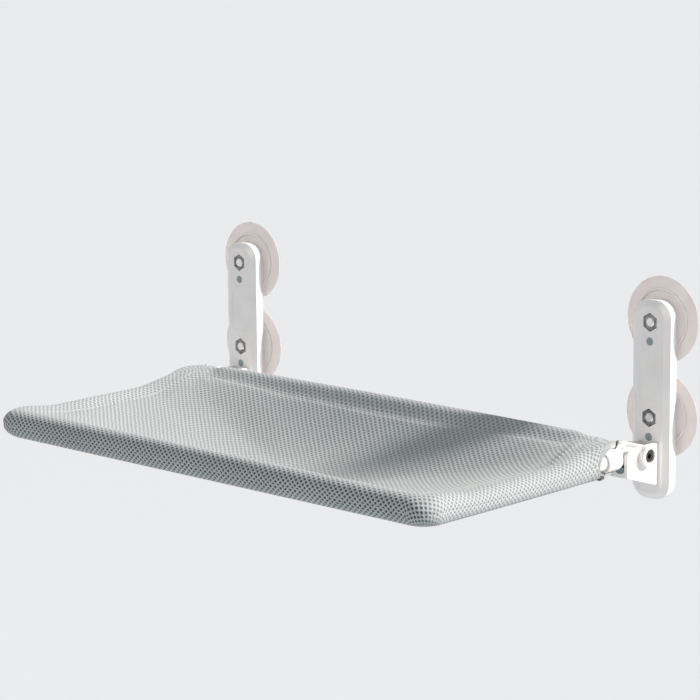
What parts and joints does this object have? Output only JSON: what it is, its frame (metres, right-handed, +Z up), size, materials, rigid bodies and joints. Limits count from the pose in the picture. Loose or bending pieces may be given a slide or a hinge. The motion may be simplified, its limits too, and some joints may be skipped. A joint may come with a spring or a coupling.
{
  "type": "window mounted cat perch",
  "caption": "Fabric cat bed on a folding tube frame, hinged to window brackets that hold on with suction cups.",
  "frame": {"origin": "on the window pane's surface, in the middle of the four suction cups", "axes": "+X to the right seen from the room, +Y out through the window pane, +Z up"},
  "size_m": [0.536, 0.2975, 0.1792],
  "materials": {
    "white_plastic": "fine moulded grain",
    "white_tube": "powder coated white",
    "clear_cup": "clear soft vinyl",
    "bright_nut": "bright plated",
    "steel": "zinc plated",
    "dark_steel": "blackened",
    "nylon": "natural nylon",
    "teal_plastic": "matte teal",
    "sling_mesh": "padded air mesh, grey-blue"
  },
  "bodies": {
    "window_mounts": {"left_front_cover": "white_plastic", "left_back_plate": "white_plastic", "left_upper_cup": "clear_cup", "left_lower_cup": "clear_cup", "left_button_spring": "steel", "right_front_cover": "white_plastic", "right_back_plate": "white_plastic", "right_upper_cup": "clear_cup", "right_lower_cup": "clear_cup", "right_button_spring": "steel", "cup_studs": "steel", "cup_nuts": "bright_nut", "cover_screws": "steel", "screw_caps": "teal_plastic", "pivot_bolts": "dark_steel", "pivot_nuts": "steel", "thrust_washers": "nylon"},
    "perch": {"left_knuckle": "white_plastic", "left_side_tube": "white_tube", "left_front_elbow": "white_plastic", "left_rear_bracket": "white_plastic", "right_knuckle": "white_plastic", "right_side_tube": "white_tube", "right_front_elbow": "white_plastic", "right_rear_bracket": "white_plastic", "pivot_bushes": "nylon", "front_bar": "white_tube", "rear_bar": "white_tube", "lock_screws": "steel", "fabric_sling": "sling_mesh"},
    "left_button": {"left_release_button": "teal_plastic"},
    "right_button": {"right_release_button": "teal_plastic"}
  },
  "joints": [
    {"name": "perch_fold", "type": "hinge", "parent": "window_mounts", "child": "perch", "pos_m": [0, -0.035, -0.06505], "axis": [-1, 0, 0], "range_deg": [0, 90]},
    {"name": "left_button_press", "type": "slide", "parent": "window_mounts", "child": "left_button", "axis": [0, 1, 0], "range_m": [0, 0.003], "stiffness_N_per_m": 300, "springref_m": -0.003, "deforming": ["left_button_spring"]},
    {"name": "right_button_press", "type": "slide", "parent": "window_mounts", "child": "right_button", "axis": [0, 1, 0], "range_m": [0, 0.003], "stiffness_N_per_m": 300, "springref_m": -0.003, "deforming": ["right_button_spring"]}
  ]
}
